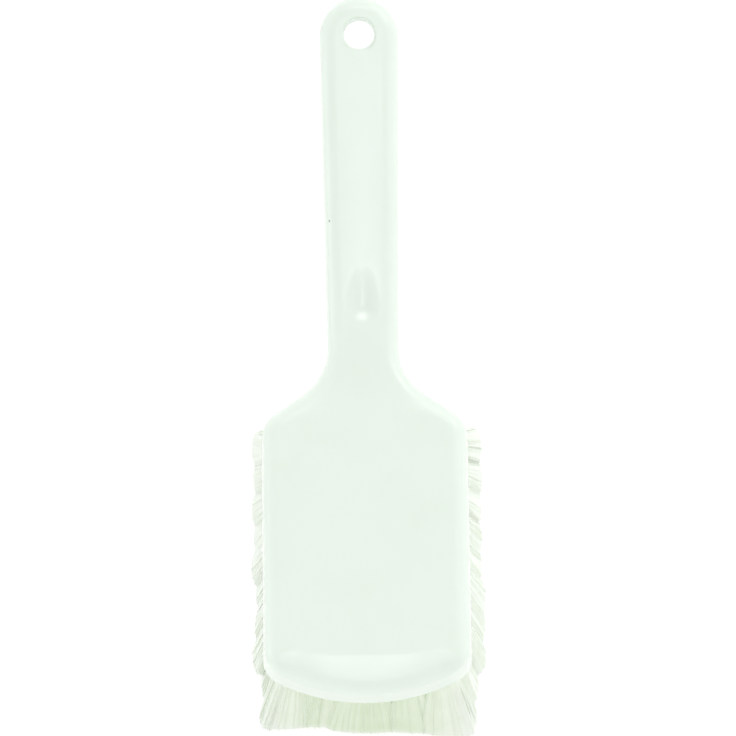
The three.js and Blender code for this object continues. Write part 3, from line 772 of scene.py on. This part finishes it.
def new_piece(name, points, faces, values):
    """Mesh object from arrays of points and faces, with named values at its points."""
    mesh = bpy.data.meshes.new(name)
    mesh.from_pydata(points.tolist(), [], faces)
    for key, numbers in values.items():
        layer = mesh.attributes.new(key, "FLOAT", "POINT")
        layer.data.foreach_set("value", np.ascontiguousarray(numbers, dtype=np.float32).ravel())
    made = bpy.data.objects.new(name, mesh)
    bpy.context.scene.collection.objects.link(made)
    return made


def close_seams(piece, weld):
    """Merges the points that neighbouring sheets share, where they do, and turns every face outwards."""
    work = bmesh.new()
    work.from_mesh(piece.data)
    if weld:
        bmesh.ops.remove_doubles(work, verts=work.verts, dist=WELD_DISTANCE)
        bmesh.ops.dissolve_degenerate(work, dist=WELD_DISTANCE, edges=work.edges)
    bmesh.ops.recalc_face_normals(work, faces=work.faces)
    open_edges = sum(1 for edge in work.edges if not edge.is_manifold)
    work.to_mesh(piece.data)
    work.free()
    if open_edges:
        raise RuntimeError(f"{piece.name} has {open_edges} open edges")


def shade(piece, sharp_angle):
    """Smooth shading that breaks at edges sharper than an angle."""
    piece.data.shade_smooth()
    piece.data.set_sharp_from_angle(angle=sharp_angle)


def set_inputs(node, values):
    """Sets the values of a node's inputs by name."""
    for key, value in values.items():
        node.inputs[key].default_value = value


def add_node(tree, kind, inputs=None, **settings):
    """Shader node of a kind with its settings and the values of its inputs."""
    made = tree.nodes.new(kind)
    for key, value in settings.items():
        setattr(made, key, value)
    set_inputs(made, inputs or {})
    return made


def feed(tree, node, slot, value):
    """Links a socket to a node's input, or sets the input to a plain value."""
    if isinstance(value, bpy.types.NodeSocket):
        tree.links.new(value, node.inputs[slot])
    else:
        node.inputs[slot].default_value = value


def mix_colour(tree, part, first, second):
    """Mix of a colour, plain or from a socket, with a plain second one, by the part given by a socket."""
    made = add_node(tree, "ShaderNodeMix", data_type="RGBA")
    plain = not isinstance(first, bpy.types.NodeSocket)
    feed(tree, made, MIX_PART, part)
    feed(tree, made, MIX_FIRST, (*first, 1.0) if plain else first)
    feed(tree, made, MIX_SECOND, (*second, 1.0))
    return made.outputs[MIX_RESULT]


def spread(tree, value, low, high, new_low=0.0, new_high=1.0):
    """Value moved from one range to another and held inside it."""
    numbers = {"From Min": low, "From Max": high, "To Min": new_low, "To Max": new_high}
    made = add_node(tree, "ShaderNodeMapRange", numbers, clamp=True)
    feed(tree, made, "Value", value)
    return made.outputs["Result"]


def combine(tree, operation, first, second):
    """Result of a sum, product or the like of two values."""
    made = add_node(tree, "ShaderNodeMath", operation=operation)
    feed(tree, made, 0, first)
    feed(tree, made, 1, second)
    return made.outputs[0]


def scaled(tree, value, factor):
    """Product of a value and a factor."""
    return combine(tree, "MULTIPLY", value, factor)


def new_group(name, inputs, outputs):
    """Empty shader node group with its named sockets."""
    tree = bpy.data.node_groups.new(name, "ShaderNodeTree")
    for key, kind in inputs:
        tree.interface.new_socket(name=key, in_out="INPUT", socket_type=kind)
    for key in outputs:
        tree.interface.new_socket(name=key, in_out="OUTPUT", socket_type="NodeSocketFloat")
    return tree, tree.nodes.new("NodeGroupInput"), tree.nodes.new("NodeGroupOutput")


def surface_grain_group():
    """Fine grain for bump, from noise of two sizes, and a broad mottle for colour."""
    if "Surface Grain" in bpy.data.node_groups:
        return bpy.data.node_groups["Surface Grain"]
    sockets = [
        ("Vector", "NodeSocketVector"),
        ("Fine Scale", "NodeSocketFloat"),
        ("Broad Scale", "NodeSocketFloat"),
    ]
    tree, given, result = new_group("Surface Grain", sockets, ["Height", "Mottle"])
    fine = add_node(tree, "ShaderNodeTexNoise", {"Detail": 3.0, "Roughness": 0.6})
    peel = add_node(tree, "ShaderNodeTexNoise", {"Detail": 1.0, "Roughness": 0.4})
    broad = add_node(tree, "ShaderNodeTexNoise", {"Detail": 4.0, "Roughness": 0.55, "Distortion": 0.4})
    for noise in (fine, peel, broad):
        feed(tree, noise, "Vector", given.outputs["Vector"])
    feed(tree, fine, "Scale", given.outputs["Fine Scale"])
    feed(tree, peel, "Scale", scaled(tree, given.outputs["Fine Scale"], PEEL_SCALE))
    feed(tree, broad, "Scale", given.outputs["Broad Scale"])
    rough = scaled(tree, fine.outputs[0], FINE_SHARE)
    height = combine(tree, "ADD", rough, scaled(tree, peel.outputs[0], PEEL_SHARE))
    feed(tree, result, "Height", height)
    feed(tree, result, "Mottle", spread(tree, broad.outputs[0], *MOTTLE_RANGE))
    return tree


def rub_marks_group():
    """Thin rubbed streaks in patches: noise drawn out along one way, kept where it is high."""
    if "Rub Marks" in bpy.data.node_groups:
        return bpy.data.node_groups["Rub Marks"]
    sockets = [("Vector", "NodeSocketVector"), ("Scale", "NodeSocketFloat"), ("Way", "NodeSocketVector")]
    tree, given, result = new_group("Rub Marks", sockets, ["Mask"])
    stretch = add_node(tree, "ShaderNodeVectorMath", operation="MULTIPLY")
    streak = add_node(tree, "ShaderNodeTexNoise", {"Detail": 2.0, "Roughness": 0.5, "Distortion": 0.15})
    patch = add_node(tree, "ShaderNodeTexNoise", {"Detail": 1.0, "Roughness": 0.5})
    feed(tree, stretch, 0, given.outputs["Vector"])
    feed(tree, stretch, 1, given.outputs["Way"])
    feed(tree, streak, "Vector", stretch.outputs[0])
    feed(tree, streak, "Scale", given.outputs["Scale"])
    feed(tree, patch, "Vector", given.outputs["Vector"])
    feed(tree, patch, "Scale", scaled(tree, given.outputs["Scale"], PATCH_SCALE))
    lines = spread(tree, streak.outputs[0], *STREAK_RANGE)
    zones = spread(tree, patch.outputs[0], *PATCH_RANGE)
    feed(tree, result, "Mask", scaled(tree, lines, zones))
    return tree


def place_group(tree, group, vector, **values):
    """Group node in a material, fed with object coordinates and its own values."""
    made = add_node(tree, "ShaderNodeGroup", node_tree=group)
    feed(tree, made, "Vector", vector)
    for key, value in values.items():
        made.inputs[key.replace("_", " ").title()].default_value = value
    return made


def new_material(name):
    """Material with a Principled shader, and the object coordinates of its piece."""
    made = bpy.data.materials.new(name)
    made.use_nodes = True
    tree = made.node_tree
    shader = next(n for n in tree.nodes if n.type == "BSDF_PRINCIPLED")
    vector = add_node(tree, "ShaderNodeTexCoord").outputs["Object"]
    return made, tree, shader, vector


def attribute(tree, name):
    """Named value of the points of a piece."""
    return add_node(tree, "ShaderNodeAttribute", attribute_name=name).outputs["Fac"]


def bump(tree, shader, height, strength, distance):
    """Surface relief from a height value."""
    made = add_node(tree, "ShaderNodeBump", {"Strength": strength, "Distance": distance})
    feed(tree, made, "Height", height)
    feed(tree, shader, "Normal", made.outputs["Normal"])


def roughen(tree, shader, grain, marks, least, most, marked):
    """Roughness that follows the grain's mottle, and more of it on marks."""
    rough = spread(tree, grain.outputs["Mottle"], 0.0, 1.0, least, most)
    rough = combine(tree, "ADD", rough, scaled(tree, marks.outputs["Mask"], marked))
    feed(tree, shader, "Roughness", rough)


def speck_mask(tree, vector, body, bristle_length):
    """1 inside the dark speck on the handle, 0 outside it, by the distance from its middle."""
    place = (np.array(body.speck_across), np.array(body.speck_station), np.array(body.speck_depth))
    spot = raised(*place, body, bristle_length)
    away = add_node(tree, "ShaderNodeVectorMath", operation="DISTANCE")
    feed(tree, away, 0, vector)
    feed(tree, away, 1, spot.tolist())
    inner, outer = (body.speck_size * edge for edge in SPECK_EDGE)
    return spread(tree, away.outputs["Value"], inner, outer, 1.0, 0.0)


def moulded_plastic(body, bristle_length):
    """Satin white moulded plastic: flow marks, fine grain, handled edges, faint rub marks and a speck."""
    made, tree, shader, vector = new_material("moulded_plastic")
    grain = place_group(tree, surface_grain_group(), vector, fine_scale=2600.0, broad_scale=38.0)
    rubbed = place_group(tree, rub_marks_group(), vector, scale=800.0, way=(14.0, 1.0, 5.0))
    flow = scaled(tree, grain.outputs["Mottle"], PLASTIC_FLOW_SHARE)
    base = mix_colour(tree, flow, body.plastic, body.plastic_flow)
    worn = scaled(tree, attribute(tree, "edge"), PLASTIC_WORN_SHARE)
    base = mix_colour(tree, worn, base, body.plastic_worn)
    marks = scaled(tree, rubbed.outputs["Mask"], PLASTIC_RUBBED_SHARE)
    base = mix_colour(tree, marks, base, body.plastic_rubbed)
    base = mix_colour(tree, speck_mask(tree, vector, body, bristle_length), base, body.speck_dark)
    feed(tree, shader, "Base Color", base)
    roughen(tree, shader, grain, rubbed, *PLASTIC_ROUGHNESS, PLASTIC_RUBBED_ROUGHNESS)
    set_inputs(shader, PLASTIC_FINISH)
    bump(tree, shader, grain.outputs["Height"], *PLASTIC_GRAIN)
    return made


def bristle_nylon(bristles):
    """Translucent white filament: each its own shade, darkened by painted shade towards the brush's
    middle line, paler at the cut tip, with a fine grain.
    """
    made, tree, shader, vector = new_material("bristle_filament")
    grain = place_group(tree, surface_grain_group(), vector, fine_scale=3200.0, broad_scale=120.0)
    # This value is each filament's own random tone plus painted shade towards the brush's middle line,
    # and it mixes in the warm colour
    strand = attribute(tree, "strand")
    dull_and_painted_shade = scaled(tree, strand, NYLON_STRAND_SHARE)
    dull_and_painted_shade = combine(tree, "ADD", dull_and_painted_shade, scaled(tree, grain.outputs["Mottle"], NYLON_MOTTLE_SHARE))
    base = mix_colour(tree, dull_and_painted_shade, bristles.strand_white, bristles.strand_warm_and_painted_shade)
    tips = spread(tree, attribute(tree, "reach"), *TIP_FADE, 0.0, TIP_SHARE)
    base = mix_colour(tree, tips, base, bristles.tip_white)
    feed(tree, shader, "Base Color", base)
    rough = spread(tree, strand, 0.0, 1.0, *NYLON_ROUGHNESS)
    feed(tree, shader, "Roughness", rough)
    set_inputs(shader, NYLON_FINISH)
    bump(tree, shader, grain.outputs["Height"], *NYLON_GRAIN)
    return made


def anchor_wire(bristles):
    """Flat drawn steel wire: fine lines along its length and dull rubbed patches."""
    made, tree, shader, vector = new_material("anchor_wire")
    grain = place_group(tree, surface_grain_group(), vector, fine_scale=9000.0, broad_scale=420.0)
    drawn = place_group(tree, rub_marks_group(), vector, scale=900.0, way=(0.5, 8.0, 8.0))
    base = mix_colour(tree, grain.outputs["Mottle"], bristles.steel, bristles.steel_dull)
    feed(tree, shader, "Base Color", base)
    roughen(tree, shader, grain, drawn, *WIRE_ROUGHNESS, WIRE_DRAWN_ROUGHNESS)
    set_inputs(shader, WIRE_FINISH)
    bump(tree, shader, grain.outputs["Height"], *WIRE_GRAIN)
    return made


class SCRUB_OT_moulded_body(bpy.types.Operator):
    """Make the one-piece moulded body: block, handle, hang hole, thumb rest and drilled underside"""

    bl_idname = "scrub_brush.moulded_body"
    bl_label = "Moulded Body"

    def execute(self, context):
        body = context.scene.brush_body
        bristles = context.scene.brush_bristles
        rise = bristles.bristle_length
        shell, worn, rim, under, floor_row, eye_angle = outer_shell(body, rise)
        sheet = under_sheet(rim, under, floor_row, body, rise)
        wall = hang_hole_wall(eye_angle, body, rise)
        points, faces, edge_values = [], [], []
        total = 0
        for part, values in ((shell, worn), (sheet, None), (wall, None)):
            rows, columns = part.shape[:2]
            flat = part.reshape(-1, 3)
            numbers = np.zeros(len(flat)) if values is None else values.ravel()
            for mirror in (1.0, -1.0):
                points.append(flat * [mirror, 1.0, 1.0])
                quads = grid_faces(rows, columns, total)
                faces += (quads if mirror > 0 else quads[:, ::-1]).tolist()
                edge_values.append(numbers)
                total += len(flat)
        _, hole, tip, _ = tuft_field(bristles)
        pits = tuft_holes(hole, tip, bristles)
        faces += ring_faces(len(hole), pits.shape[1], PIT_SIDES, total).tolist()
        points.append(pits.reshape(-1, 3))
        total += pits.size // 3
        floor, triangles = pitted_floor(rim, floor_row, hole, bristles)
        faces += (triangles + total).tolist()
        points.append(floor)
        edge_values.append(np.zeros(pits.size // 3 + len(floor)))
        values = {"edge": np.concatenate(edge_values)}
        piece = new_piece("moulded_body", np.concatenate(points), faces, values)
        close_seams(piece, weld=True)
        shade(piece, SHARP_ANGLE)
        even = piece.modifiers.new("even_shading", "WEIGHTED_NORMAL")
        even.keep_sharp = True
        piece.data.materials.append(moulded_plastic(body, rise))
        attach(piece, "root")
        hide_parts("handle_block")
        return {"FINISHED"}


class SCRUB_OT_bristle_tufts(bpy.types.Operator):
    """Make the bristle tufts: folded filaments that fan out from every hole to the trimmed tips"""

    bl_idname = "scrub_brush.bristle_tufts"
    bl_label = "Bristle Tufts"

    def execute(self, context):
        bristles = context.scene.brush_bristles
        rows, hole, tip, spread_out = tuft_field(bristles)
        nylon = bristle_nylon(bristles)
        for number, (node, (first, last)) in enumerate(ROWS_OF_NODE.items()):
            own = (rows >= first) & (rows <= last)
            rng = np.random.default_rng(bristles.seed + number)
            fan = tuft_fans(spread_out[own], bristles, rng)
            path, reach = filament_paths(hole[own], tip[own], fan, bristles, rng)
            tubes = filament_tubes(path, bristles.filament / 2)
            tufts, count, rings = path.shape[:3]
            faces = ring_faces(tufts * count, rings, FILAMENT_SIDES, 0).tolist()
            faces += end_faces(tufts * count, rings, FILAMENT_SIDES, 0)
            # Filament and core tones carry painted shade towards the brush's middle line on top of their
            # own random tone
            tone_and_painted_shade = strand_tone_and_painted_shade(tubes, tip, (tufts, count, 1, 1), rng)
            way = reach[..., None] * np.ones(FILAMENT_SIDES)
            cores, core_reach = tuft_cores(hole[own], tip[own], fan, bristles, rng)
            core_tone_and_painted_shade = strand_tone_and_painted_shade(cores, tip, (tufts, 1, CORE_SIDES), rng)
            faces += ring_faces(tufts, cores.shape[1], CORE_SIDES, tubes.size // 3)[:, ::-1].tolist()
            faces += end_faces(tufts, cores.shape[1], CORE_SIDES, tubes.size // 3)
            points = np.concatenate([tubes.reshape(-1, 3), cores.reshape(-1, 3)])
            values = {
                "strand": np.concatenate([tone_and_painted_shade.ravel(), core_tone_and_painted_shade.ravel()]),
                "reach": np.concatenate([way.ravel(), core_reach.ravel()]),
            }
            name = node.replace("bristles", "tufts")
            piece = new_piece(name, points, faces, values)
            close_seams(piece, weld=False)
            shade(piece, CORE_SHARP_ANGLE)
            piece.data.materials.append(nylon)
            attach(piece, "root")
            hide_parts(node)
        return {"FINISHED"}


class SCRUB_OT_wire_anchors(bpy.types.Operator):
    """Give the wire anchors of the tufts their steel"""

    bl_idname = "scrub_brush.wire_anchors"
    bl_label = "Wire Anchors"

    def execute(self, context):
        steel = anchor_wire(context.scene.brush_bristles)
        anchors = [node for name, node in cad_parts.items() if name.startswith("anchor_")]
        if not anchors:
            raise RuntimeError("the frame has no anchors")
        for anchor in anchors:
            if not anchor.material_slots:
                anchor.data.materials.append(None)
            anchor.material_slots[0].material = steel
        return {"FINISHED"}


def aim_at(obj, place, target):
    """Puts an object at a place and turns its -Z to a target."""
    obj.location = place
    obj.rotation_euler = (Vector(target) - Vector(place)).to_track_quat("-Z", "Y").to_euler()


def add_lamp(name, place, target, width, depth, power):
    """Rectangular soft lamp that the picture doesn't show."""
    data = bpy.data.lights.new(name, "AREA")
    data.shape = "RECTANGLE"
    data.size = width
    data.size_y = depth
    data.energy = power
    lamp = bpy.data.objects.new(name, data)
    lamp.visible_camera = False
    bpy.context.scene.collection.objects.link(lamp)
    aim_at(lamp, place, target)


def seen_rays(tree):
    """1 for what the picture, a reflection or a clear body shows, 0 for other light."""
    rays = add_node(tree, "ShaderNodeLightPath")
    seen = combine(tree, "MAXIMUM", rays.outputs["Is Camera Ray"], rays.outputs["Is Glossy Ray"])
    return combine(tree, "MAXIMUM", seen, rays.outputs["Is Transmission Ray"])


def floor_paint(stage):
    """Pale milky floor that keeps the shadow and lets some light through, lifted to white where the
    picture sees it, and clear from below."""
    made = bpy.data.materials.new("studio_floor")
    made.use_nodes = True
    tree = made.node_tree
    tree.nodes.clear()
    white = stage.floor_white
    matt = add_node(tree, "ShaderNodeBsdfDiffuse", {"Color": (white, white, white, 1.0)})
    glow = add_node(tree, "ShaderNodeEmission", {"Color": (1.0, 1.0, 1.0, 1.0)})
    feed(tree, glow, "Strength", scaled(tree, seen_rays(tree), stage.floor_lift))
    both = add_node(tree, "ShaderNodeAddShader")
    feed(tree, both, 0, matt.outputs[0])
    feed(tree, both, 1, glow.outputs[0])
    clear = add_node(tree, "ShaderNodeBsdfTransparent")
    side = add_node(tree, "ShaderNodeNewGeometry").outputs["Backfacing"]
    side = combine(tree, "MAXIMUM", side, stage.floor_clear)
    pick = add_node(tree, "ShaderNodeMixShader")
    feed(tree, pick, 0, side)
    feed(tree, pick, 1, both.outputs[0])
    feed(tree, pick, 2, clear.outputs[0])
    result = add_node(tree, "ShaderNodeOutputMaterial")
    feed(tree, result, "Surface", pick.outputs[0])
    return made


def white_world(stage):
    """World that is white to look at and gives a soft light, strongest near the horizon and a little
    weaker beyond the toe."""
    world = bpy.data.worlds.new("studio_white")
    bpy.context.scene.world = world
    world.use_nodes = True
    tree = world.node_tree
    back = next(n for n in tree.nodes if n.type == "BACKGROUND")
    set_inputs(back, {"Color": (1.0, 1.0, 1.0, 1.0)})
    seen = seen_rays(tree)
    way = add_node(tree, "ShaderNodeSeparateXYZ")
    feed(tree, way, 0, add_node(tree, "ShaderNodeTexCoord").outputs["Generated"])
    light = spread(tree, way.outputs["Z"], 0.0, 1.0, stage.ambient_low, stage.ambient_high)
    ahead = spread(tree, way.outputs["Y"], -1.0, 0.0, stage.ambient_ahead, 1.0)
    light = scaled(tree, light, ahead)
    unseen = scaled(tree, light, combine(tree, "SUBTRACT", 1.0, seen))
    feed(tree, back, "Strength", combine(tree, "ADD", unseen, seen))


class SCRUB_OT_stage(bpy.types.Operator):
    """Set up the camera, the lamps, the white world and the pale floor"""

    bl_idname = "scrub_brush.stage"
    bl_label = "Stage"

    def execute(self, context):
        stage = context.scene.brush_stage
        aim = Vector((stage.aim_across, TOE_Y + stage.aim_station, stage.aim_height))
        back = Vector((0.0, -math.cos(stage.camera_elevation), math.sin(stage.camera_elevation)))
        data = bpy.data.cameras.new("photo_camera")
        data.lens = stage.lens
        camera = bpy.data.objects.new("photo_camera", data)
        context.scene.collection.objects.link(camera)
        facing = (-back).to_track_quat("-Z", "Y").to_matrix().to_4x4()
        camera.matrix_world = (
            Matrix.Translation(aim + back * stage.camera_distance)
            @ facing
            @ Matrix.Rotation(-stage.camera_roll, 4, "Z")
        )
        context.scene.camera = camera
        context.scene.view_settings.view_transform = "Standard"
        for name, power, place, width, depth in LAMPS:
            add_lamp(name, place, aim, width, depth, getattr(stage, power))
        white_world(stage)
        square = np.array([[-1.0, -1.0], [1.0, -1.0], [1.0, 1.0], [-1.0, 1.0]])
        corners = np.insert(stage.floor_size * square, 2, -stage.floor_gap, axis=1)
        floor = new_piece("studio_floor", corners, [[0, 1, 2, 3]], {})
        floor.data.materials.append(floor_paint(stage))
        return {"FINISHED"}


class SCRUB_PT_panel(bpy.types.Panel):
    """Sidebar panel with the brush's pieces and their settings"""

    bl_idname = "SCRUB_PT_panel"
    bl_label = "Scrub Brush"
    bl_space_type = "VIEW_3D"
    bl_region_type = "UI"
    bl_category = "Scrub Brush"

    def draw(self, context):
        layout = self.layout
        groups = (
            ("brush_stage", (SCRUB_OT_stage,)),
            ("brush_body", (SCRUB_OT_moulded_body,)),
            ("brush_bristles", (SCRUB_OT_bristle_tufts, SCRUB_OT_wire_anchors)),
        )
        for group, operators in groups:
            box = layout.box()
            settings = getattr(context.scene, group)
            for key in settings.bl_rna.properties.keys():
                if key not in {"rna_type", "name"}:
                    box.prop(settings, key)
            for operator in operators:
                box.operator(operator.bl_idname)


CLASSES = (
    BrushBodySettings,
    BrushBristleSettings,
    BrushStageSettings,
    SCRUB_OT_stage,
    SCRUB_OT_moulded_body,
    SCRUB_OT_bristle_tufts,
    SCRUB_OT_wire_anchors,
    SCRUB_PT_panel,
)


def register():
    """Register the classes and put the settings on the scene."""
    for cls in CLASSES:
        bpy.utils.register_class(cls)
    bpy.types.Scene.brush_body = bpy.props.PointerProperty(type=BrushBodySettings)
    bpy.types.Scene.brush_bristles = bpy.props.PointerProperty(type=BrushBristleSettings)
    bpy.types.Scene.brush_stage = bpy.props.PointerProperty(type=BrushStageSettings)


def unregister():
    """Take the settings off the scene and unregister the classes."""
    del bpy.types.Scene.brush_stage
    del bpy.types.Scene.brush_bristles
    del bpy.types.Scene.brush_body
    for cls in reversed(CLASSES):
        bpy.utils.unregister_class(cls)


def main():
    """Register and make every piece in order."""
    register()
    bpy.ops.scrub_brush.stage()
    bpy.ops.scrub_brush.moulded_body()
    bpy.ops.scrub_brush.bristle_tufts()
    bpy.ops.scrub_brush.wire_anchors()


if __name__ == "__main__":
    main()
